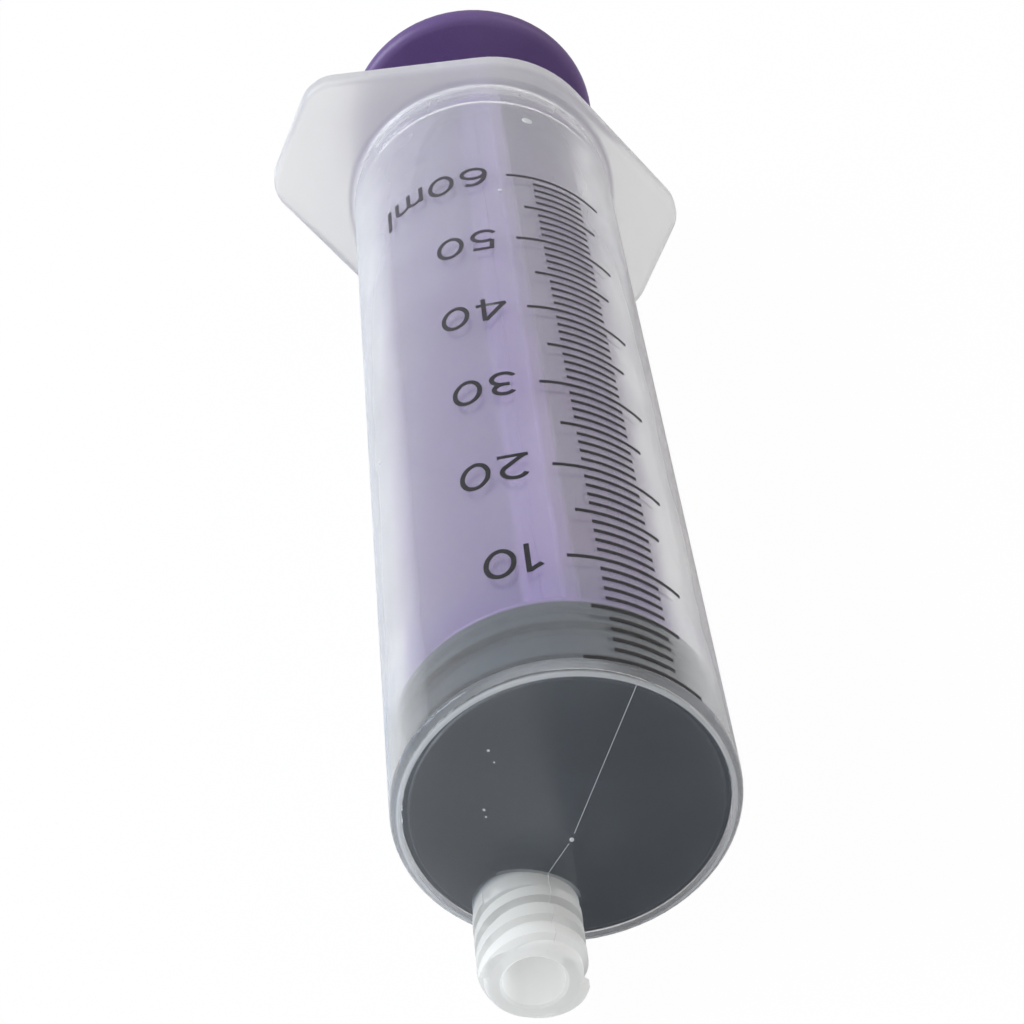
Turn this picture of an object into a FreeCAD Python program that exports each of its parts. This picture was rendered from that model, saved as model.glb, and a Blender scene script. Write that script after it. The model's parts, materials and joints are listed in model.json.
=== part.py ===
import FreeCAD, Part
import os
from math import asin, atan2, cos, degrees, hypot, pi, radians, sin, tan
from FreeCAD import Placement, Rotation, Vector

# 60 ml enteral syringe, plunger fully in, lying on a table.
# It rests on one slanted flat of the finger flange and on the front rim of the barrel.
# Millimetres. While it is built the barrel lies level along +Y with the tip towards -Y,
# y = 0 is the 0 ml line, and turn angles start at straight up and go towards +X.
# The finished pieces are then tilted and lifted together until both rests touch z = 0.

# Barrel tube
barrel_front_radius = 15.5
barrel_wall = 1.22
barrel_draft_deg = 0.095
barrel_front_y = -1.4
front_bevel_length = 0.85
front_bevel_depth = 0.8
front_edge_round = 0.35
front_corner_round = 0.3
front_wall = 1.15
front_cone_height = 3.8
stop_bead_gap = 4.6
stop_bead_width = 1.6
stop_bead_height = 0.3
stop_bead_round = 0.4
mouth_chamfer = 0.6

# Finger flange
flange_front_y = 118.7
flange_thickness = 2.8
flange_wing_length = 9.0
flange_flat_margin = 2.4
flange_shift = 0.6
flange_slant_deg = 27.4
flange_crown_radius = 14.0
flange_wing_radius = 4.6
flange_edge_radius = 0.7
flange_root_fillet = 1.0

# Enteral tip with its double-start outer thread
tip_length = 11.3
tip_rim_gap = 0.77
tip_collar_radius = 4.7
tip_collar_length = 3.95
tip_collar_taper = 0.5
tip_collar_round = 0.25
tip_end_round = 0.7
socket_radius = 2.75
socket_depth = 7.5
socket_draft_deg = 0.9
socket_lead_in = 0.25
tip_hole_radius = 1.5
thread_crest_radius = 4.82
thread_height = 0.52
thread_lead = 4.9
thread_starts = 2
thread_base_width = 2.0
thread_crest_width = 1.2
thread_sink = 0.7
thread_start_deg = 105.0
thread_start_gap = 0.4
thread_end_gap = 0.08
thread_overlap = 0.75

# Rubber stopper
stopper_rear_y = 9.35
stopper_front_gap = 0.15
stopper_edge_round = 0.3
seal_clearance = 0.05
seal_ring_count = 2
seal_ring_y = 0.85
seal_ring_pitch = 4.9
seal_ring_width = 1.1
seal_flank_length = 0.3
seal_groove_depth = 0.5
rear_lip_width = 0.9
rear_lip_clearance = 0.12
stopper_side_wall = 5.05
stopper_lip_thickness = 1.8

# Plunger rod
rod_play = 0.08
head_thickness = 1.9
head_undercut = 2.1
head_edge_round = 0.6
plate_margin = 0.58
plate_thickness = 1.3
plate_edge_round = 0.3
rib_count = 4
rib_margin = 1.08
rib_thickness = 1.7
rib_edge_round = 0.5
rib_root_round = 1.2
rib_slope_length = 10.0
rib_slope_depth = 6.4
rod_turn_deg = 11.4
thumb_disc_gap = 18.7
thumb_disc_radius = 15.7
thumb_disc_thickness = 3.0
thumb_disc_edge = 1.3
thumb_rim_width = 3.2
thumb_dish_depth = 0.5
thumb_dish_round = 0.3
grip_ring_count = 3
grip_ring_pitch = 2.6
grip_ring_width = 1.0
grip_ring_height = 0.45
grip_ring_round = 0.35

# Printed scale
scale_ml = 60
ink_thickness = 0.05
line_width = 0.45
scale_turn_from_seam_deg = 4.2
span_of_10_deg = 43.0
span_of_5_deg = 32.4
span_of_1_deg = 21.6

# Barrel and flange, worked out from the sizes above
bore_radius = barrel_front_radius - barrel_wall
cone_radius = barrel_front_radius - front_bevel_depth
cone_slope = front_cone_height / cone_radius
cone_tip_y = barrel_front_y - front_cone_height
cavity_tip_y = cone_tip_y + front_wall * hypot(1.0, cone_slope)
flange_rear_y = flange_front_y + flange_thickness
flange_half_length = barrel_front_radius + flange_wing_length
flange_flat_reach = barrel_front_radius + flange_flat_margin
flange_rest_reach = flange_flat_reach - flange_shift * sin(radians(flange_slant_deg))
seam_turn_deg = flange_slant_deg
mm_per_ml = 1000.0 / (pi * bore_radius**2)

# Tip, worked out
tip_turn_deg = seam_turn_deg + 180.0
tip_offset = barrel_front_radius - tip_collar_radius - tip_rim_gap
tip_foot_y = barrel_front_y + front_wall
tip_end_y = barrel_front_y - tip_length
tip_collar_end_y = barrel_front_y - tip_collar_length
tip_root_radius = thread_crest_radius - thread_height
thread_start_y = tip_end_y + thread_start_gap
thread_length = tip_collar_end_y + thread_overlap - thread_start_y
socket_end_y = tip_end_y + socket_depth

# Stopper and rod, worked out
seal_radius = bore_radius - seal_clearance
groove_radius = seal_radius - seal_groove_depth
stopper_tip_y = cavity_tip_y + stopper_front_gap
head_cavity_radius = groove_radius - stopper_side_wall
head_radius = head_cavity_radius - rod_play
neck_radius = head_radius - head_undercut
head_rear_y = stopper_rear_y - stopper_lip_thickness - rod_play
head_front_y = head_rear_y - head_thickness
plate_front_y = stopper_rear_y + rod_play
plate_radius = bore_radius - plate_margin
rib_radius = bore_radius - rib_margin
thumb_disc_y = flange_rear_y + thumb_disc_gap


def barrel_radius_at(y):
    """Outer radius of the tapered barrel."""
    return barrel_front_radius + (y - barrel_front_y) * tan(radians(barrel_draft_deg))


def polar(radius, y, turn_deg):
    """Point at a radius from the barrel's axis, turned from straight up towards +X."""
    return Vector(radius * sin(radians(turn_deg)), y, radius * cos(radians(turn_deg)))


def rounded_face(corners):
    """Flat face from (point, rounding radius) corners, each joined by tangent arcs."""
    count = len(corners)
    starts, ends, middles = [], [], []
    for index, (point, radius) in enumerate(corners):
        to_last = (corners[index - 1][0] - point).normalize()
        to_next = (corners[(index + 1) % count][0] - point).normalize()
        half = to_last.getAngle(to_next) / 2
        starts.append(point + to_last * (radius / tan(half)))
        ends.append(point + to_next * (radius / tan(half)))
        inward = (to_last + to_next).normalize() if radius else Vector()
        middles.append(point + inward * (radius / sin(half) - radius))
    edges = []
    for index, (point, radius) in enumerate(corners):
        if radius:
            edges.append(Part.Arc(starts[index], middles[index], ends[index]).toShape())
        following = starts[(index + 1) % count]
        if ends[index].distanceToPoint(following) > 1e-6:
            edges.append(Part.LineSegment(ends[index], following).toShape())
    return Part.Face(Part.Wire(edges))


def lathe(corners, sweep_deg=360.0):
    """Solid turned about the barrel's axis from (radius, y, rounding) corners."""
    face = rounded_face([(Vector(0, y, radius), rounding) for radius, y, rounding in corners])
    return face.revolve(Vector(), Vector(0, 1, 0), sweep_deg)


def turned(shape, turn_deg):
    """Copy of a shape turned about the barrel's axis, from straight up towards +X."""
    copy = shape.copy()
    copy.rotate(Vector(), Vector(0, 1, 0), turn_deg)
    return copy


def barrel_body():
    """Tapered tube with its shallow front cone, and the fillet that meets the flange."""
    root_radius = barrel_radius_at(flange_front_y)
    fillet_end = root_radius + flange_root_fillet
    flange_middle_y = flange_front_y + flange_thickness / 2
    return lathe([
        (0.0, cone_tip_y, 0.0),
        (cone_radius, barrel_front_y, front_edge_round),
        (barrel_front_radius, barrel_front_y + front_bevel_length, front_edge_round),
        (root_radius, flange_front_y, flange_root_fillet),
        (fillet_end, flange_front_y, 0.0),
        (fillet_end, flange_middle_y, 0.0),
        (0.0, flange_middle_y, 0.0),
    ])


def flange_plate():
    """Six-sided finger flange, a little off the axis, with round corners and soft edges."""
    slant = radians(flange_slant_deg)
    crown = flange_flat_reach / cos(slant)
    wing = (flange_flat_reach - flange_half_length * sin(slant)) / cos(slant)
    outline = [
        (0.0, crown, flange_crown_radius),
        (flange_half_length, wing, flange_wing_radius),
        (flange_half_length, -wing, flange_wing_radius),
        (0.0, -crown, flange_crown_radius),
        (-flange_half_length, -wing, flange_wing_radius),
        (-flange_half_length, wing, flange_wing_radius),
    ]
    face = rounded_face([(Vector(x, flange_front_y, z), rounding) for x, z, rounding in outline])
    face.translate(Vector(-flange_shift, 0, 0))
    plate = face.extrude(Vector(0, flange_thickness, 0))
    rims = [edge for edge in plate.Edges if edge.BoundBox.YLength < 1e-6]
    return turned(plate.makeFillet(flange_edge_radius, rims), seam_turn_deg)


def barrel_bore():
    """Space inside the barrel: the parallel bore, the stop bead and the flared mouth."""
    corner_y = cavity_tip_y + cone_slope * bore_radius
    bead_y = flange_rear_y - stop_bead_gap - stop_bead_width
    return lathe([
        (0.0, cavity_tip_y, 0.0),
        (bore_radius, corner_y, front_corner_round),
        (bore_radius, bead_y - stop_bead_width / 2, 0.0),
        (bore_radius - stop_bead_height, bead_y, stop_bead_round),
        (bore_radius, bead_y + stop_bead_width / 2, 0.0),
        (bore_radius, flange_rear_y - mouth_chamfer, 0.0),
        (bore_radius + mouth_chamfer, flange_rear_y, 0.0),
        (0.0, flange_rear_y, 0.0),
    ])


def onto_tip(shape):
    """Move a shape drawn about the barrel's axis onto the tip's own axis."""
    copy = shape.copy()
    copy.translate(polar(tip_offset, 0.0, tip_turn_deg))
    return copy


def tip_body():
    """Outside of the tip: the collar at its root, the thread's root and the round end."""
    return lathe([
        (0.0, tip_end_y, 0.0),
        (tip_root_radius, tip_end_y, tip_end_round),
        (tip_root_radius, tip_collar_end_y - tip_collar_taper, tip_collar_round),
        (tip_collar_radius, tip_collar_end_y, tip_collar_round),
        (tip_collar_radius, tip_foot_y, 0.0),
        (0.0, tip_foot_y, 0.0),
    ])


def tip_passage():
    """Tapered socket with its lead-in, and the hole on into the barrel."""
    inner_radius = socket_radius - socket_depth * tan(radians(socket_draft_deg))
    return lathe([
        (0.0, tip_end_y, 0.0),
        (socket_radius + socket_lead_in, tip_end_y, 0.0),
        (socket_radius, tip_end_y + socket_lead_in, 0.0),
        (inner_radius, socket_end_y, 0.0),
        (tip_hole_radius, socket_end_y, 0.0),
        (tip_hole_radius, tip_foot_y, 0.0),
        (0.0, tip_foot_y, 0.0),
    ])


def thread_ridge():
    """One right-handed ridge of the tip's outer thread, cut level at the end of the tip."""
    foot = tip_root_radius - thread_sink
    helix = Part.makeHelix(thread_lead, thread_length, foot)
    corners = [
        Vector(foot, 0, -thread_base_width / 2),
        Vector(tip_root_radius, 0, -thread_base_width / 2),
        Vector(thread_crest_radius, 0, -thread_crest_width / 2),
        Vector(thread_crest_radius, 0, thread_crest_width / 2),
        Vector(tip_root_radius, 0, thread_base_width / 2),
        Vector(foot, 0, thread_base_width / 2),
    ]
    profile = Part.makePolygon(corners + corners[:1])
    ridge = Part.Wire(helix).makePipeShell([profile], True, True)
    ridge.rotate(Vector(), Vector(1, 0, 0), -90)
    ridge.translate(Vector(0, thread_start_y, 0))
    room = lathe([
        (0.0, tip_end_y + thread_end_gap, 0.0),
        (tip_offset, tip_end_y + thread_end_gap, 0.0),
        (tip_offset, tip_foot_y, 0.0),
        (0.0, tip_foot_y, 0.0),
    ])
    return turned(ridge, thread_start_deg - 90).common(room)


def threaded_tip():
    """Outside of the tip: one body for each start, with its own ridge, all joined."""
    single = tip_body().fuse(thread_ridge())
    tip = single
    for start in range(1, thread_starts):
        tip = tip.fuse(turned(single, start * 360.0 / thread_starts))
    return tip


def make_barrel():
    """Barrel, flange and tip, moulded as one piece."""
    shell = barrel_body().fuse(flange_plate()).fuse(onto_tip(threaded_tip()))
    hollow = barrel_bore().fuse(onto_tip(tip_passage()))
    return shell.cut(hollow).removeSplitter()


def make_stopper():
    """Rubber stopper: cone front, sealing rings, a rear lip and the snap-in cavity."""
    lip_radius = bore_radius - rear_lip_clearance
    lip_front_y = stopper_rear_y - rear_lip_width
    corners = [
        (0.0, stopper_tip_y, 0.0),
        (groove_radius, stopper_tip_y + cone_slope * groove_radius, stopper_edge_round),
    ]
    for index in range(seal_ring_count):
        low_y = seal_ring_y + index * seal_ring_pitch - seal_ring_width / 2
        high_y = low_y + seal_ring_width
        corners += [
            (groove_radius, low_y - seal_flank_length, 0.0),
            (seal_radius, low_y, 0.0),
            (seal_radius, high_y, 0.0),
            (groove_radius, high_y + seal_flank_length, 0.0),
        ]
    corners += [
        (groove_radius, lip_front_y - seal_flank_length, 0.0),
        (lip_radius, lip_front_y, 0.0),
        (lip_radius, stopper_rear_y, 0.0),
        (0.0, stopper_rear_y, 0.0),
    ]
    return lathe(corners).cut(head_cavity())


def head_cavity():
    """Undercut cavity of the stopper, which holds the rod's head with a little play."""
    lip_inner_y = stopper_rear_y - stopper_lip_thickness
    return lathe([
        (0.0, head_front_y - rod_play, 0.0),
        (head_cavity_radius, head_front_y - rod_play, head_edge_round),
        (head_cavity_radius, lip_inner_y, 0.0),
        (neck_radius + rod_play, lip_inner_y, 0.0),
        (neck_radius + rod_play, stopper_rear_y, 0.0),
        (0.0, stopper_rear_y, 0.0),
    ])


def rib_cross():
    """Crossed ribs of the rod, drawn as one rounded outline and pulled along the axis."""
    half = rib_thickness / 2
    quarter = 2 * pi / rib_count
    root = half / tan(quarter / 2)
    start_y = plate_front_y + plate_thickness / 2
    corners = []
    for index in range(rib_count):
        along = radians(rod_turn_deg) + index * quarter
        out = Vector(sin(along), 0, cos(along))
        side = Vector(cos(along), 0, -sin(along))
        foot = Vector(0, start_y, 0)
        corners += [
            (foot + out * rib_radius - side * half, rib_edge_round),
            (foot + out * rib_radius + side * half, rib_edge_round),
            (foot + out * root + side * half, rib_root_round),
        ]
    length = thumb_disc_y + thumb_disc_thickness / 2 - start_y
    return rounded_face(corners).extrude(Vector(0, length, 0)).cut(rib_slopes())


def rib_slopes():
    """Ring taken off the ribs' rear ends, so that they slope down to the thumb disc."""
    return lathe([
        (rib_radius - rib_slope_depth, thumb_disc_y, 0.0),
        (rib_radius, thumb_disc_y - rib_slope_length, 0.0),
        (bore_radius, thumb_disc_y - rib_slope_length, 0.0),
        (bore_radius, thumb_disc_y, 0.0),
    ])


def thumb_disc():
    """Round thumb press with a shallow dish and raised grip rings."""
    rear_y = thumb_disc_y + thumb_disc_thickness
    floor_y = rear_y - thumb_dish_depth
    dish_radius = thumb_disc_radius - thumb_rim_width
    disc = lathe([
        (0.0, thumb_disc_y, 0.0),
        (thumb_disc_radius, thumb_disc_y, thumb_disc_edge),
        (thumb_disc_radius, rear_y, thumb_disc_edge),
        (dish_radius, rear_y, thumb_dish_round),
        (dish_radius, floor_y, 0.0),
        (0.0, floor_y, 0.0),
    ])
    for index in range(grip_ring_count):
        middle = grip_ring_pitch * (index + 1)
        disc = disc.fuse(lathe([
            (middle - grip_ring_width / 2, floor_y, 0.0),
            (middle, floor_y + grip_ring_height, grip_ring_round),
            (middle + grip_ring_width / 2, floor_y, 0.0),
        ]))
    return disc


def rod_head():
    """Mushroom head that the stopper snaps over, its neck and the plate behind the stopper."""
    plate_rear_y = plate_front_y + plate_thickness
    return lathe([
        (0.0, head_front_y, 0.0),
        (head_radius, head_front_y, head_edge_round),
        (head_radius, head_rear_y, 0.0),
        (neck_radius, head_rear_y, 0.0),
        (neck_radius, plate_front_y, 0.0),
        (plate_radius, plate_front_y, plate_edge_round),
        (plate_radius, plate_rear_y, plate_edge_round),
        (0.0, plate_rear_y, 0.0),
    ])


def make_plunger_rod():
    """Thumb disc, crossed ribs, plate and head, moulded as one piece."""
    return rib_cross().fuse(rod_head()).fuse(thumb_disc()).removeSplitter()


def scale_line(millilitres):
    """One printed line of the scale, a thin arc of ink on the tapered barrel."""
    span_deg = span_of_1_deg
    if millilitres % 10 == 0:
        span_deg = span_of_10_deg
    elif millilitres % 5 == 0:
        span_deg = span_of_5_deg
    y = millilitres * mm_per_ml
    low_y, high_y = y - line_width / 2, y + line_width / 2
    strip = lathe([
        (barrel_radius_at(low_y), low_y, 0.0),
        (barrel_radius_at(low_y) + ink_thickness, low_y, 0.0),
        (barrel_radius_at(high_y) + ink_thickness, high_y, 0.0),
        (barrel_radius_at(high_y), high_y, 0.0),
    ], span_deg)
    return turned(strip, seam_turn_deg + scale_turn_from_seam_deg - span_deg / 2)


def make_scale_print():
    """All the lines of the scale, one for each millilitre."""
    return Part.makeCompound([scale_line(ml) for ml in range(scale_ml + 1)])


def lying_placement():
    """Tilt and lift that set the front rim and the flange's flat on the table."""
    bevel = atan2(front_bevel_depth, front_bevel_length)
    front_y = barrel_front_y + front_bevel_length + front_edge_round * tan(bevel / 2)
    front_down = barrel_front_radius - front_edge_round
    rear_y = flange_front_y + flange_edge_radius
    rear_down = flange_rest_reach - flange_edge_radius
    along, down = rear_y - front_y, rear_down - front_down
    lean = asin((flange_edge_radius - front_edge_round) / hypot(along, down))
    tilt = atan2(down, along) + lean
    lift = front_down * cos(tilt) + front_edge_round - front_y * sin(tilt)
    return Placement(Vector(0, 0, lift), Rotation(Vector(1, 0, 0), degrees(tilt)))


def main():
    os.makedirs("parts", exist_ok=True)
    pieces = {
        "barrel": make_barrel(),
        "stopper": make_stopper(),
        "plunger_rod": make_plunger_rod(),
        "scale_print": make_scale_print(),
    }
    lying = lying_placement()
    for shape in pieces.values():
        shape.Placement = lying.multiply(shape.Placement)
    box = Part.makeCompound(list(pieces.values())).optimalBoundingBox(False, False)
    centre = Vector(-(box.XMin + box.XMax) / 2, -(box.YMin + box.YMax) / 2, 0)
    for name, shape in pieces.items():
        shape.translate(centre)
        shape.exportStep(f"parts/{name}.step")
        print(name, "solids", len(shape.Solids), "volume", round(shape.Volume, 1), shape.isValid())
    print("tilt", round(degrees(lying.Rotation.Angle), 4), "lift", round(lying.Base.z, 4))
    print("moved", round(centre.x, 4), round(centre.y, 4), "box", box.XLength, box.YLength, box.ZMax)


main()
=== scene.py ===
import json
from math import cos, degrees, radians, sin

import bmesh
import bpy
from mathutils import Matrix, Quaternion, Vector


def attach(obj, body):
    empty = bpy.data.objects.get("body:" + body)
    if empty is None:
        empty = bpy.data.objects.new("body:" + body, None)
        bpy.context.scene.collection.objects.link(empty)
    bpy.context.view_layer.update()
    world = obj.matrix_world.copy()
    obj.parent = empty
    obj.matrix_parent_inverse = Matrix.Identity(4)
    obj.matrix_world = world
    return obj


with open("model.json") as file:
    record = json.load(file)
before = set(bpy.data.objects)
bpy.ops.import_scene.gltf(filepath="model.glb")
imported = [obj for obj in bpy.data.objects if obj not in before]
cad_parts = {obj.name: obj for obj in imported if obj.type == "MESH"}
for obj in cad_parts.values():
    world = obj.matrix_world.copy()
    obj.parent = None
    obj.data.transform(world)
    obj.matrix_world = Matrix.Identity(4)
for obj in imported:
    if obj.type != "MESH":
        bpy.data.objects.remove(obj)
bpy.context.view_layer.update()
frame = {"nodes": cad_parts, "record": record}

# A 60 ml enteral syringe lying on a table, seen from its tip and from above.
# Places on the barrel are given along its axis from the 0 ml line, in millimetres,
# and as a turn about the axis from straight up towards +X, in degrees.
MM = 0.001

# Barrel and tip, as in the solids
barrel_front_radius = 15.5
barrel_front_along = -1.4
barrel_draft = 0.001658
flange_front_along = 118.7
bore_radius = 14.28
cone_radius = 14.7
cone_height = 3.8
cone_slope = cone_height / cone_radius
cone_apex_along = barrel_front_along - cone_height
front_wall = 1.15
cavity_front_along = barrel_front_along + front_wall
tip_turn = 207.4
tip_offset = 10.03
tip_end_along = -12.7
collar_end_along = -5.35
collar_radius = 4.7
thread_root_radius = 4.3
thread_crest_radius = 4.82
thread_base_width = 2.0
thread_crest_width = 1.2
thread_lead = 4.9
thread_starts = 2
thread_start_turn = 105.0
thread_start_along = -12.3
mm_per_ml = 1.561

# Printed numerals
numeral_height = 4.5
numeral_stroke = 0.5
numeral_gap = 0.74
numeral_start_turn = 2.2
bow_step = 7.5
ink_lift = 0.05
ink_sink = 0.02

# Raised parting line left by the mould
line_width = 0.055
line_height = 0.03
line_sink = 0.03
line_turn = 28.6
line_outer_radius = 14.6
line_inner_radius = 0.6
line_meets_tip_radius = 5.3
line_start_on_tip = -3.85
line_end_gap = 0.6
cone_line_steps = 24
tip_line_steps = 90

# The photograph's camera, across the barrel, along it and above it
camera_at = (-3.727, -190.930, 152.476)
camera_aim = (-1.351, 49.741, -1.318)
camera_roll = -6.55
camera_lens = 97.967
sensor_width = 36.0
nearest_seen = 0.01

# Finishes
plastic_ior = 1.49
rubber_ior = 1.45
white = (1, 1, 1, 1)

# Table and the point that the lamps aim at, in metres
table_half_width = 4.0
syringe_middle = (0, 0, 0.02)

joints = {joint["name"]: joint for joint in frame["record"]["behaviour"]["joints"]}
mounts = {mount["name"]: mount for mount in frame["record"]["mounts"]}
axis = Vector(joints["plunger_slide"]["axis"]).normalized()
axis_up = Vector((0, -axis.z, axis.y))
barrel_middle_along = 57.0
zero_line = Vector(mounts["barrel_outside"]["pos_m"]) - axis * barrel_middle_along * MM


def outward(turn):
    """Direction away from the axis at a turn."""
    return Vector((sin(radians(turn)), 0, 0)) + axis_up * cos(radians(turn))


def place(radius, along, turn):
    """Point in the row frame at a radius from the barrel's axis, all in millimetres."""
    return zero_line + (axis * along + outward(turn) * radius) * MM


def spread(start, end, steps):
    """Evenly spaced values from start to end."""
    return [start + (end - start) * step / steps for step in range(steps + 1)]


def barrel_radius(along):
    """Outer radius of the tapered barrel in millimetres."""
    return barrel_front_radius + (along - barrel_front_along) * barrel_draft


def add(tree, kind, inputs=None, **settings):
    """One node, with its settings made and its inputs set or linked."""
    made = tree.nodes.new("ShaderNode" + kind)
    for name, value in settings.items():
        setattr(made, name, value)
    for name, value in (inputs or {}).items():
        if isinstance(value, bpy.types.NodeSocket):
            tree.links.new(value, made.inputs[name])
        else:
            made.inputs[name].default_value = value
    return made


def maths(tree, operation, *values, clamp=False):
    """Result of one operation on numbers or linked values."""
    return add(tree, "Math", dict(enumerate(values)), operation=operation, use_clamp=clamp).outputs[0]


def between(tree, value, low, high, to_low=0.0, to_high=1.0):
    """Value brought smoothly from one range into another."""
    inputs = {0: value, 1: low, 2: high, 3: to_low, 4: to_high}
    return add(tree, "MapRange", inputs, interpolation_type="SMOOTHSTEP").outputs[0]


def with_more(tree, value, parts):
    """Value with several masks added, each by its own amount."""
    for mask, amount in parts:
        value = maths(tree, "ADD", value, maths(tree, "MULTIPLY", mask, amount))
    return value


def tint(tree, factor, first, second):
    """Colour mixed from two by a factor."""
    made = add(tree, "Mix", data_type="RGBA")
    for index, value in ((0, factor), (6, first), (7, second)):
        if isinstance(value, bpy.types.NodeSocket):
            tree.links.new(value, made.inputs[index])
        else:
            made.inputs[index].default_value = value
    return made.outputs[2]


def new_group(name, inputs, outputs):
    """Empty shader group with named number sockets, its entry and its exit."""
    tree = bpy.data.node_groups.new(name, "ShaderNodeTree")
    for socket, value in inputs.items():
        made = tree.interface.new_socket(socket, in_out="INPUT", socket_type="NodeSocketFloat")
        made.default_value = value
    for socket in outputs:
        tree.interface.new_socket(socket, in_out="OUTPUT", socket_type="NodeSocketFloat")
    return tree, tree.nodes.new("NodeGroupInput").outputs, tree.nodes.new("NodeGroupOutput").inputs


def put(tree, group, **values):
    """A group placed in a material with its own values; underscores stand for spaces."""
    made = tree.nodes.new("ShaderNodeGroup")
    made.node_tree = group
    for name, value in values.items():
        made.inputs[name.replace("_", " ").capitalize()].default_value = value
    return made.outputs


def make_place_on_barrel():
    """Where a point of the syringe is: along the axis, out from it, and out from the tip's axis."""
    tree, _, leave = new_group("place_on_barrel", {}, ["Along", "Out", "Out from tip"])
    at = add(tree, "TexCoord").outputs["Object"]
    for socket, start in (("Out", zero_line), ("Out from tip", place(tip_offset, 0.0, tip_turn))):
        away = add(tree, "VectorMath", {0: at, 1: start}, operation="SUBTRACT").outputs[0]
        along = add(tree, "VectorMath", {0: away, 1: axis}, operation="DOT_PRODUCT").outputs["Value"]
        shadow = add(tree, "VectorMath", {0: away, 1: axis}, operation="PROJECT").outputs[0]
        rest = add(tree, "VectorMath", {0: away, 1: shadow}, operation="SUBTRACT").outputs[0]
        out = add(tree, "VectorMath", {0: rest}, operation="LENGTH").outputs["Value"]
        tree.links.new(maths(tree, "DIVIDE", out, MM), leave[socket])
        if socket == "Out":
            tree.links.new(maths(tree, "DIVIDE", along, MM), leave["Along"])
    return tree


def make_moulded_skin():
    """Moulded plastic or rubber: a fine grain, slow waves of the mould and cloudy patches."""
    inputs = {"Grain size": 0.25, "Wave size": 6.0, "Cloud size": 14.0}
    tree, enter, leave = new_group("moulded_skin", inputs, ["Grain", "Waves", "Clouds"])
    at = add(tree, "TexCoord").outputs["Object"]
    details = {"Grain": ("Grain size", 2.0), "Waves": ("Wave size", 1.0), "Clouds": ("Cloud size", 2.0)}
    for socket, (size, detail) in details.items():
        scale = maths(tree, "DIVIDE", 1.0 / MM, enter[size])
        noise = add(tree, "TexNoise", {"Vector": at, "Scale": scale, "Detail": detail})
        tree.links.new(noise.outputs["Fac"], leave[socket])
    return tree


def make_handling_marks():
    """Hairline scratches along and across, and tiny specks."""
    inputs = {"Scratch length": 6.0, "Speck size": 1.6}
    tree, enter, leave = new_group("handling_marks", inputs, ["Scratches", "Specks"])
    at = add(tree, "TexCoord").outputs["Object"]
    scratch_scale = maths(tree, "DIVIDE", 1.0 / MM, enter["Scratch length"])
    lean = add(tree, "Mapping", {"Vector": at, "Rotation": (0.3, 0.2, 0.9), "Scale": (14.0, 1.0, 14.0)})
    noise = add(tree, "TexNoise", {"Vector": lean.outputs[0], "Scale": scratch_scale, "Detail": 2.0})
    off_middle = maths(tree, "ABSOLUTE", maths(tree, "SUBTRACT", noise.outputs["Fac"], 0.5))
    tree.links.new(between(tree, off_middle, 0.0, 0.006, 1.0, 0.0), leave["Scratches"])
    speck_scale = maths(tree, "DIVIDE", 1.0 / MM, enter["Speck size"])
    cells = add(tree, "TexVoronoi", {"Vector": at, "Scale": speck_scale})
    tree.links.new(between(tree, cells.outputs["Distance"], 0.05, 0.09, 1.0, 0.0), leave["Specks"])
    return tree


place_on_barrel = make_place_on_barrel()
moulded_skin = make_moulded_skin()
handling_marks = make_handling_marks()


def new_material(name):
    """Empty material, its node tree and its surface output."""
    material = bpy.data.materials.new(name)
    material.use_nodes = True
    material.node_tree.nodes.clear()
    return material, material.node_tree, add(material.node_tree, "OutputMaterial").inputs["Surface"]


def barrel_masks(tree, where):
    """Parts of the barrel, each as a mask from 0 to 1."""
    along, out, out_from_tip = where["Along"], where["Out"], where["Out from tip"]
    behind_flange_front = between(tree, along, flange_front_along - 1.7, flange_front_along + 0.5)
    ahead_of_front = between(tree, along, barrel_front_along - 2.6, barrel_front_along - 1.2, 1.0, 0.0)
    behind_tip_end = between(tree, along, tip_end_along + 0.1, tip_end_along + 4.2)
    front = between(tree, along, barrel_front_along + 0.4, barrel_front_along + 1.0, 1.0, 0.0)
    rim = maths(tree, "MULTIPLY", front, between(tree, out, cone_radius - 0.28, cone_radius - 0.15))
    rim_middle = between(tree, out, cone_radius + 0.1, cone_radius + 0.3, 1.0, 0.0)
    behind_face = maths(tree, "SUBTRACT", along, maths(tree, "MULTIPLY", out, cone_slope))
    inner_wall = between(tree, behind_face, cone_apex_along + 0.4, cone_apex_along + 0.8)
    ahead_of_cavity = between(tree, along, cavity_front_along, cavity_front_along + 0.15, 1.0, 0.0)
    return {
        "flange": maths(tree, "MULTIPLY", behind_flange_front, between(tree, out, 14.6, 16.6)),
        "mouth": between(tree, along, flange_front_along - 2.3, flange_front_along - 1.1),
        "tip": maths(tree, "MULTIPLY", ahead_of_front, between(tree, out_from_tip, 5.2, 4.9)),
        "tip thread": maths(tree, "MULTIPLY", behind_tip_end, between(tree, out_from_tip, 3.0, 4.0)),
        "front": front,
        "rim": rim,
        "rim edge": maths(tree, "MULTIPLY", rim, rim_middle),
        "inner front": maths(tree, "MULTIPLY", inner_wall, ahead_of_cavity),
    }


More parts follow.
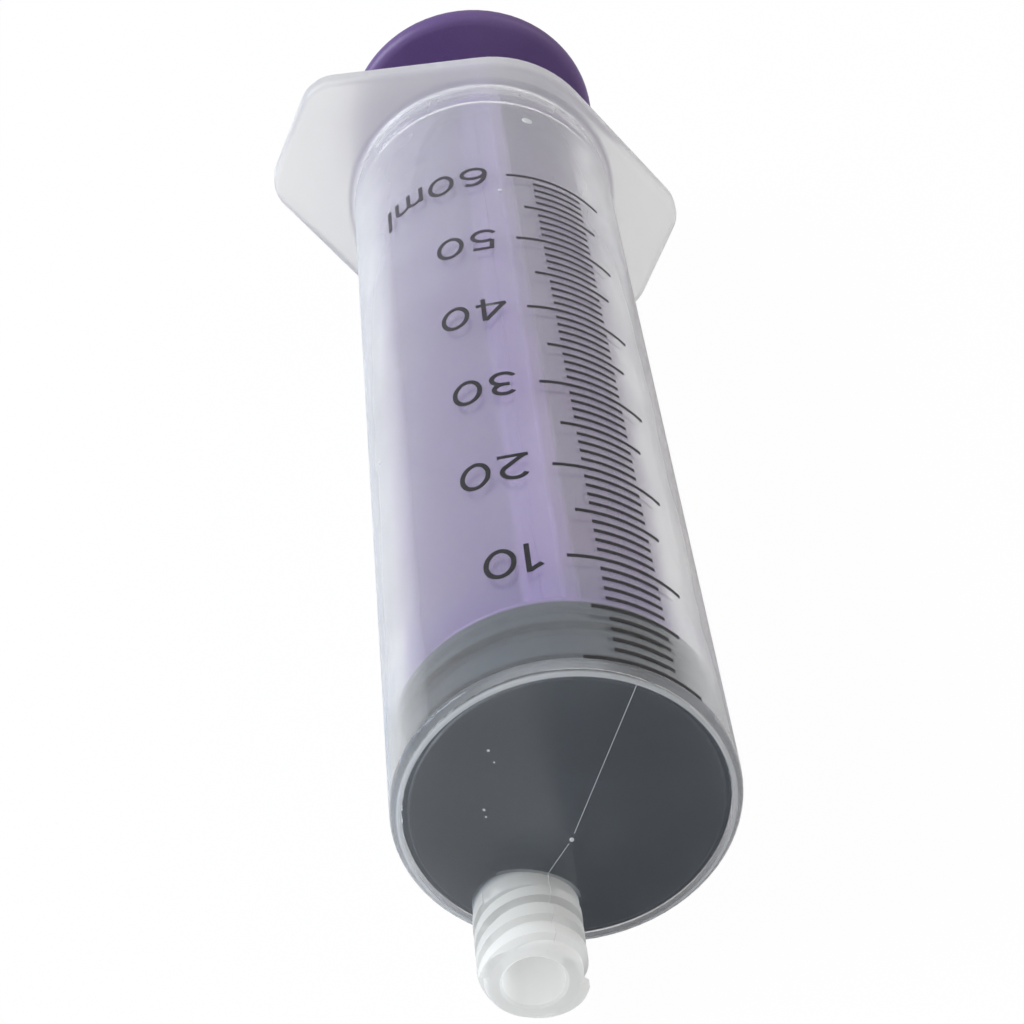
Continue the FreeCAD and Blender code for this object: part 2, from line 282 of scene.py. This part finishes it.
def frosted_polypropylene():
    """Barrel: clear to milky moulded polypropylene, milkier in the flange and the tip."""
    material, tree, surface = new_material("frosted_polypropylene")
    where = put(tree, place_on_barrel)
    skin = put(tree, moulded_skin, grain_size=0.3, wave_size=9.0, cloud_size=11.0)
    marks = put(tree, handling_marks, scratch_length=7.0, speck_size=2.4)
    masks = barrel_masks(tree, where)
    edge_on = add(tree, "LayerWeight", {"Blend": 0.3}).outputs["Facing"]

    # How milky the plastic is, with painted light and shade along the tube
    milk = between(tree, skin["Clouds"], 0.3, 0.7, -0.02, 0.02)
    # Painted shade and light: the milky veil is thinner over the dark stopper and thicker towards the
    # open rear
    milk = maths(tree, "ADD", milk, between(tree, where["Along"], 4.0, 15.0, 0.055, 0.14))
    milk = maths(tree, "ADD", milk, between(tree, where["Along"], 50.0, 110.0, 0.0, 0.09))
    # Painted highlight: a thin ring at the rounded front corner is made almost fully milky, so it shines
    # white
    milk = with_more(tree, milk, (
        (masks["front"], 0.05), (masks["rim"], 0.06), (masks["rim edge"], 0.74),
        (masks["flange"], 0.21), (masks["tip"], 0.72), (marks["Specks"], 0.04),
    ))
    glancing = maths(tree, "MULTIPLY", maths(tree, "POWER", edge_on, 5.0), 0.90)
    milk = maths(tree, "ADD", milk, glancing, clamp=True)

    # Its clear share
    rough = between(tree, skin["Waves"], 0.3, 0.7, 0.08, 0.14)
    rough = with_more(tree, rough, ((marks["Scratches"], 0.06), (masks["mouth"], 0.22)))
    bump = add(tree, "Bump", {"Strength": 0.035, "Distance": 0.0002, "Height": skin["Waves"]}).outputs[0]
    clear = add(tree, "BsdfPrincipled", {
        "Base Color": (0.99, 0.985, 0.975, 1), "Roughness": rough, "IOR": plastic_ior,
        "Transmission Weight": 1.0, "Normal": bump,
    }).outputs[0]

    # Its milky share, whiter in the flange and the tip, and bluish over the dark stopper: a painted cool
    # cast of light there
    over_stopper = between(tree, where["Along"], 11.0, 16.0, 1.0, 0.0)
    over_stopper = maths(tree, "SUBTRACT", over_stopper, masks["rim"])
    veil = tint(tree, skin["Clouds"], (0.80, 0.84, 0.90, 1), (0.87, 0.90, 0.95, 1))
    veil = tint(tree, over_stopper, veil, (0.66, 0.76, 0.92, 1))
    # Painted light and shade: the threaded outside of the tip is painted darker than the inside of its
    # socket, toning down the lamp-lit outside and lightening the shaded socket
    tip_tone = tint(tree, masks["tip thread"], (0.96, 0.96, 0.955, 1), (0.79, 0.79, 0.78, 1))
    solid = tint(tree, masks["tip"], tint(tree, masks["flange"], veil, (0.91, 0.93, 0.96, 1)), tip_tone)
    milky = add(tree, "BsdfPrincipled", {
        "Base Color": solid, "Roughness": 0.42, "IOR": plastic_ior, "Normal": bump,
    }).outputs[0]
    through = tint(tree, masks["tip"], (0.97, 0.96, 0.94, 1), tip_tone)
    glow = add(tree, "BsdfTranslucent", {"Color": through, "Normal": bump}).outputs[0]
    milky = add(tree, "MixShader", {0: 0.5, 1: milky, 2: glow}).outputs[0]
    body = add(tree, "MixShader", {0: milk, 1: clear, 2: milky}).outputs[0]

    # Light passes straight through the inner front face and, for shadows, through the clear share
    straight = add(tree, "BsdfTransparent", {"Color": (0.97, 0.97, 0.97, 1)}).outputs[0]
    body = add(tree, "MixShader", {0: masks["inner front"], 1: body, 2: straight}).outputs[0]
    open_to_light = add(tree, "BsdfTransparent", {"Color": (0.70, 0.70, 0.70, 1)}).outputs[0]
    let_through = maths(tree, "SUBTRACT", 1.0, maths(tree, "MULTIPLY", milk, 0.6))
    shadow = maths(tree, "MULTIPLY", add(tree, "LightPath").outputs["Is Shadow Ray"], let_through)
    tree.links.new(add(tree, "MixShader", {0: shadow, 1: body, 2: open_to_light}).outputs[0], surface)
    return material


def milky_polypropylene():
    """Parting line and gate mark: the barrel's plastic, whitened where it is thin and rough; the
    whiteness is partly a painted highlight of the light these fine ridges catch.
    """
    material, tree, surface = new_material("milky_polypropylene")
    skin = put(tree, moulded_skin, grain_size=0.15, wave_size=2.0, cloud_size=3.0)
    # Partly painted highlight: the raised lines and the gate mark are whiter than the barrel
    colour = tint(tree, skin["Clouds"], (0.80, 0.83, 0.85, 1), (0.95, 0.96, 0.97, 1))
    rough = between(tree, skin["Grain"], 0.3, 0.7, 0.25, 0.45)
    bump = add(tree, "Bump", {"Strength": 0.3, "Distance": 0.00003, "Height": skin["Grain"]}).outputs[0]
    shader = add(tree, "BsdfPrincipled", {
        "Base Color": colour, "Roughness": rough, "IOR": plastic_ior, "Normal": bump, "Alpha": 0.55,
    })
    tree.links.new(shader.outputs[0], surface)
    return material


def purple_polypropylene():
    """Plunger rod: satin purple, with faint flow clouds and fine handling marks."""
    material, tree, surface = new_material("purple_polypropylene")
    skin = put(tree, moulded_skin, grain_size=0.22, wave_size=5.0, cloud_size=18.0)
    marks = put(tree, handling_marks, scratch_length=9.0, speck_size=3.1)
    colour = tint(tree, between(tree, skin["Clouds"], 0.3, 0.7),
                  (0.130, 0.074, 0.228, 1), (0.158, 0.094, 0.264, 1))
    colour = tint(tree, maths(tree, "MULTIPLY", marks["Scratches"], 0.25), colour, (0.36, 0.25, 0.5, 1))
    rough = between(tree, skin["Grain"], 0.3, 0.7, 0.40, 0.50)
    rough = with_more(tree, rough, ((marks["Scratches"], 0.2),))
    height = with_more(tree, skin["Waves"], ((skin["Grain"], 0.12),))
    bump = add(tree, "Bump", {"Strength": 0.3, "Distance": 0.00025, "Height": height}).outputs[0]
    shader = add(tree, "BsdfPrincipled", {
        "Base Color": colour, "Roughness": rough, "IOR": plastic_ior, "Normal": bump,
        "Subsurface Weight": 0.15, "Subsurface Radius": (0.6, 0.35, 1.0), "Subsurface Scale": 0.0012,
    })
    tree.links.new(shader.outputs[0], surface)
    return material


def slate_rubber():
    """Stopper: smooth dark slate rubber with a faint bloom."""
    material, tree, surface = new_material("slate_rubber")
    skin = put(tree, moulded_skin, grain_size=0.18, wave_size=4.0, cloud_size=9.0)
    marks = put(tree, handling_marks, scratch_length=5.0, speck_size=1.9)
    colour = tint(tree, between(tree, skin["Clouds"], 0.3, 0.75),
                  (0.009, 0.015, 0.024, 1), (0.014, 0.022, 0.034, 1))
    colour = tint(tree, maths(tree, "MULTIPLY", marks["Specks"], 0.3), colour, (0.12, 0.13, 0.14, 1))
    where = put(tree, place_on_barrel)
    # Painted shade: where the rings press on the wall they are painted nearly black, standing in for the
    # dark look of that contact
    touching = between(tree, where["Out"], bore_radius - 0.16, bore_radius - 0.08)
    colour = tint(tree, touching, colour, (0.002, 0.003, 0.004, 1))
    shine = between(tree, where["Along"], cavity_front_along + 0.1, cavity_front_along + 0.35, 0.80, 0.35)
    sheen = maths(tree, "MULTIPLY", maths(tree, "SUBTRACT", 1.0, touching), shine)
    rough = between(tree, skin["Grain"], 0.3, 0.7, 0.52, 0.66)
    bump = add(tree, "Bump", {"Strength": 0.05, "Distance": 0.00003, "Height": skin["Grain"]}).outputs[0]
    shader = add(tree, "BsdfPrincipled", {
        "Base Color": colour, "Roughness": rough, "Normal": bump,
        "IOR": rubber_ior, "Specular IOR Level": sheen,
    })
    tree.links.new(shader.outputs[0], surface)
    return material


def black_print():
    """Ink of the scale: matt black, a little thin in places."""
    material, tree, surface = new_material("black_print")
    skin = put(tree, moulded_skin, grain_size=0.12, wave_size=1.2, cloud_size=3.0)
    where = put(tree, place_on_barrel)
    thin = maths(tree, "ADD", between(tree, skin["Grain"], 0.45, 0.75, 0.0, 0.4),
                 between(tree, where["Along"], 30.0, 95.0, 0.0, 0.6))
    colour = tint(tree, thin, (0.012, 0.011, 0.013, 1), (0.095, 0.085, 0.10, 1))
    rough = between(tree, skin["Waves"], 0.3, 0.7, 0.5, 0.65)
    bump = add(tree, "Bump", {"Strength": 0.4, "Distance": 0.00003, "Height": skin["Grain"]}).outputs[0]
    shader = add(tree, "BsdfPrincipled", {"Base Color": colour, "Roughness": rough, "Normal": bump})
    tree.links.new(shader.outputs[0], surface)
    return material


finishes = {
    "barrel": frosted_polypropylene(),
    "plunger_rod": purple_polypropylene(),
    "stopper": slate_rubber(),
    "scale_print": black_print(),
}
milky_line = milky_polypropylene()
for name, material in finishes.items():
    for holder in frame["nodes"][name].material_slots:
        holder.material = material


def new_piece(name, bm, material, body):
    """Mesh object from a bmesh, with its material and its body."""
    mesh = bpy.data.meshes.new(name)
    bm.to_mesh(mesh)
    bm.free()
    mesh.materials.append(material)
    made = bpy.data.objects.new(name, mesh)
    bpy.context.scene.collection.objects.link(made)
    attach(made, body)


def bow(middle, width, height, start, end):
    """Points of an oval arc from one angle to another, in degrees, anticlockwise if they rise."""
    steps = max(2, round(abs(end - start) / bow_step))
    return [
        (middle[0] + width * cos(radians(angle)), middle[1] + height * sin(radians(angle)))
        for angle in spread(start, end, steps)
    ]


# Strokes of each sign as the line of a pen, one unit high, and the sign's width
pen = numeral_stroke / numeral_height / 2
top, right = 1 - pen, 0.69 - pen
SIGNS = {
    "0": (0.69, [bow((0.345, 0.5), 0.345 - pen, 0.5 - pen, 0, 360)]),
    "1": (0.36, [[(0.30, 0), (0.30, 1)], [(0.03, 0.74), (0.285, 0.955)]]),
    "2": (0.66, [bow((0.32, 0.675), 0.26, top - 0.675, 158, -38) + [(0.07, pen)],
                 [(0.0, pen), (0.66, pen)]]),
    "3": (0.62, [bow((0.30, 0.74), 0.225, top - 0.74, 152, -90), [(0.17, 0.537), (0.31, 0.537)],
                 bow((0.30, (0.537 + pen) / 2), 0.26, (0.537 - pen) / 2, 90, -152)]),
    "4": (0.70, [[(0.50, 1), (0.03, 0.27)], [(0.0, 0.27), (0.70, 0.27)], [(0.52, 1), (0.52, 0)]]),
    "5": (0.63, [[(0.10, top), (0.58, top)], [(0.135, 1), (0.105, 0.55)],
                 bow((0.285, 0.32), 0.28, 0.32 - pen, 128, -150)]),
    "6": (0.69, [bow((0.345, 0.32), right - 0.345, 0.32 - pen, 0, 360),
                 bow((0.40, 0.34), 0.40 - pen, top - 0.34, 182, 62)]),
    "m": (0.88, [[(pen, 0), (pen, 0.74)],
                 bow((0.249, 0.50), 0.191, 0.24 - pen, 180, 0) + [(0.44, 0)],
                 bow((0.631, 0.50), 0.191, 0.24 - pen, 180, 0) + [(0.822, 0)]]),
    "l": (0.115, [[(pen, 0), (pen, 1.03)]]),
}


def pen_edges(stroke):
    """Left and right edge points of a pen stroke, mitred where it bends."""
    pairs = []
    for index, point in enumerate(stroke):
        before = Vector(stroke[max(index - 1, 0)])
        after = Vector(stroke[min(index + 1, len(stroke) - 1)])
        here = Vector(point)
        into = (here - before).normalized() if index else (after - here).normalized()
        out = (after - here).normalized() if index < len(stroke) - 1 else into
        along = (into + out).normalized()
        side = Vector((-along.y, along.x)) * (pen / max(0.5, along.dot(into)))
        pairs.append((here + side, here - side))
    return pairs


def print_word(word, millilitres):
    """Numerals printed beside their line, with their tops towards the tip."""
    bm = bmesh.new()
    start = 0.0
    for sign in word:
        width, strokes = SIGNS[sign]
        for stroke in strokes:
            rows = []
            for pair in pen_edges(stroke):
                row = []
                for spot in pair:
                    along = millilitres * mm_per_ml + (0.5 - spot.y) * numeral_height
                    radius = barrel_radius(along)
                    turn = numeral_start_turn - degrees((start + spot.x * numeral_height) / radius)
                    for lift in (ink_lift, -ink_sink):
                        row.append(bm.verts.new(place(radius + lift, along, turn)))
                rows.append((row[0], row[2], row[3], row[1]))
            for first, second in zip(rows, rows[1:]):
                for corner in range(4):
                    following = (corner + 1) % 4
                    bm.faces.new((first[corner], first[following], second[following], second[corner]))
            bm.faces.new(rows[0])
            bm.faces.new(reversed(rows[-1]))
        start += width * numeral_height + numeral_gap
    bmesh.ops.recalc_face_normals(bm, faces=bm.faces)
    new_piece(f"numeral_{word}", bm, finishes["scale_print"], "barrel")


for tens in range(1, 7):
    print_word(f"{tens}0" + ("ml" if tens == 6 else ""), tens * 10)


def cone_spot(radius, turn):
    """Point on the front cone and the direction straight out of its face."""
    point = place(radius, cone_apex_along + cone_slope * radius, turn)
    return point, (outward(turn) * cone_slope - axis).normalized()


def tube_spot(along, turn):
    """Point on the outside of the tube and the direction out of it."""
    return place(barrel_radius(along), along, turn), outward(turn)


def tip_radius(along, turn):
    """Radius of the threaded tip from its own axis, with the ridge that passes there."""
    radius = collar_radius if along > collar_end_along else thread_root_radius
    pitch = thread_lead / thread_starts
    middle = thread_start_along + (turn - thread_start_turn) / 360 * thread_lead
    off = abs((along - middle + pitch / 2) % pitch - pitch / 2)
    rise = (thread_base_width / 2 - off) / (thread_base_width - thread_crest_width) * 2
    ridge = thread_root_radius + min(1, max(0, rise)) * (thread_crest_radius - thread_root_radius)
    return max(radius, ridge)


def tip_spot(along, turn):
    """Point on the outside of the tip and the direction out of it."""
    middle = place(tip_offset, along, tip_turn)
    return middle + outward(turn) * tip_radius(along, turn) * MM, outward(turn)


def raised_line(name, path):
    """Fine raised line of plastic along a path of points, each with its outward direction."""
    bm = bmesh.new()
    rows = []
    for index, (point, out) in enumerate(path):
        ahead = path[min(index + 1, len(path) - 1)][0] - path[max(index - 1, 0)][0]
        side = ahead.cross(out).normalized() * line_width / 2 * MM
        foot = point - out * line_sink * MM
        crest = point + out * line_height * MM
        rows.append([bm.verts.new(spot) for spot in (foot - side, crest, foot + side)])
    for first, second in zip(rows, rows[1:]):
        for corner in range(3):
            following = (corner + 1) % 3
            bm.faces.new((first[corner], first[following], second[following], second[corner]))
    bm.faces.new(rows[0])
    bm.faces.new(reversed(rows[-1]))
    bmesh.ops.recalc_face_normals(bm, faces=bm.faces)
    new_piece(name, bm, milky_line, "barrel")


def nub(name, spot, width, height):
    """Low round nub of plastic sunk a little into the wall."""
    point, out = spot
    bm = bmesh.new()
    bmesh.ops.create_uvsphere(bm, u_segments=20, v_segments=12, radius=0.5 * MM)
    bmesh.ops.scale(bm, vec=(width, width, height * 2), verts=bm.verts)
    bmesh.ops.rotate(bm, matrix=out.to_track_quat("Z", "Y").to_matrix(), verts=bm.verts)
    bmesh.ops.translate(bm, vec=point, verts=bm.verts)
    new_piece(name, bm, milky_line, "barrel")


raised_line("parting_line_front", [
    cone_spot(radius, line_turn)
    for radius in spread(line_outer_radius, line_inner_radius, cone_line_steps)
])
raised_line("parting_line_to_tip", [
    cone_spot(radius, tip_turn)
    for radius in spread(line_inner_radius, line_meets_tip_radius, cone_line_steps)
])
raised_line("parting_line_tip", [
    tip_spot(along, line_turn)
    for along in spread(line_start_on_tip, tip_end_along + line_end_gap, tip_line_steps)
])

# Name, place, width and height of the gate mark, the blobs and the dust
nubs = (
    ("gate_mark", cone_spot(0.0, 0.0), 0.4, 0.12),
    ("blob_near_mouth", tube_spot(109.5, 23.4), 1.3, 0.2),
    ("speck_on_tube_right", tube_spot(89.8, 6.6), 0.5, 0.1),
    ("speck_on_tube_left", tube_spot(49.0, -64.0), 0.4, 0.1),
    ("dust_high_on_front", cone_spot(10.5, 324.0), 0.25, 0.06),
    ("dust_small_on_front", cone_spot(9.4, 321.9), 0.15, 0.04),
    ("dust_low_on_front", cone_spot(7.69, 291.2), 0.26, 0.06),
    ("dust_lowest_on_front", cone_spot(7.37, 286.2), 0.2, 0.05),
)
for name, spot, width, height in nubs:
    nub(name, spot, width, height)


def pale_table():
    """Table: white to the camera, matt to light and shadow; where the front face mirrors it, a painted
    reflection, dim on the right and white on the left.
    """
    material, tree, surface = new_material("pale_table")
    path = add(tree, "LightPath").outputs
    at = add(tree, "SeparateXYZ", {0: add(tree, "TexCoord").outputs["Object"]}).outputs
    seen = maths(tree, "MAXIMUM", path["Is Camera Ray"], path["Is Transmission Ray"])
    # Painted reflection: to glossy rays the table in front is dim, and white towards the left
    in_front = between(tree, at["Y"], -0.069, -0.055, 1.0, 0.0)
    mirrored = maths(tree, "MULTIPLY", path["Is Glossy Ray"], in_front)
    mirrored_left = maths(tree, "MULTIPLY", mirrored, between(tree, at["X"], -0.018, 0.0, 1.0, 0.0))
    shade = tint(tree, mirrored, (0.92, 0.92, 0.92, 1), (0.30, 0.31, 0.33, 1))
    matt = add(tree, "BsdfPrincipled", {"Base Color": shade, "Roughness": 0.9}).outputs[0]
    bright = add(tree, "Emission", {"Color": white, "Strength": 1.0}).outputs[0]
    share = maths(tree, "MAXIMUM", maths(tree, "MULTIPLY", seen, 0.98), mirrored_left)
    tree.links.new(add(tree, "MixShader", {0: share, 1: matt, 2: bright}).outputs[0], surface)
    return material


def pale_floor():
    """Flat table far wider than the view."""
    bm = bmesh.new()
    bmesh.ops.create_grid(bm, x_segments=1, y_segments=1, size=table_half_width)
    mesh = bpy.data.meshes.new("table")
    bm.to_mesh(mesh)
    bm.free()
    mesh.materials.append(pale_table())
    table = bpy.data.objects.new("table", mesh)
    bpy.context.scene.collection.objects.link(table)


def white_room():
    """Even pale surroundings, plain white where they are seen."""
    world = bpy.data.worlds.new("white_room")
    world.use_nodes = True
    tree = world.node_tree
    tree.nodes.clear()
    path = add(tree, "LightPath").outputs
    seen = maths(tree, "MAXIMUM", path["Is Camera Ray"], path["Is Transmission Ray"])
    mirrored = maths(tree, "MULTIPLY", path["Is Glossy Ray"], 0.05)
    strength = maths(tree, "MAXIMUM", seen, maths(tree, "ADD", 0.35, mirrored))
    glow = add(tree, "Background", {"Color": white, "Strength": strength}).outputs[0]
    tree.links.new(glow, add(tree, "OutputWorld").inputs["Surface"])
    bpy.context.scene.world = world


def soft_lamp(name, at, size, power, colour):
    """Square soft lamp aimed at the syringe."""
    lamp = bpy.data.lights.new(name, "AREA")
    lamp.size = size
    lamp.energy = power
    lamp.color = colour
    holder = bpy.data.objects.new(name, lamp)
    holder.location = at
    holder.rotation_euler = (Vector(syringe_middle) - Vector(at)).to_track_quat("-Z", "Y").to_euler()
    bpy.context.scene.collection.objects.link(holder)


pale_floor()
white_room()
soft_lamp("window", (-0.70, 0.02, 0.50), 0.45, 7.0, (0.87, 0.94, 1.0))
soft_lamp("fill", (0.5, 0.05, 0.5), 0.6, 1.25, (1.0, 0.93, 0.86))

camera = bpy.data.cameras.new("camera")
camera.lens = camera_lens
camera.sensor_width = sensor_width
camera.clip_start = nearest_seen
viewer = bpy.data.objects.new("camera", camera)
viewer.location, aim = [
    zero_line + (Vector((across, 0, 0)) + axis * along + axis_up * above) * MM
    for across, along, above in (camera_at, camera_aim)
]
look = (aim - viewer.location).to_track_quat("-Z", "Y")
viewer.rotation_euler = (look @ Quaternion((0, 0, 1), radians(camera_roll))).to_euler()
bpy.context.scene.collection.objects.link(viewer)
bpy.context.scene.camera = viewer
bpy.context.scene.view_settings.view_transform = "Standard"
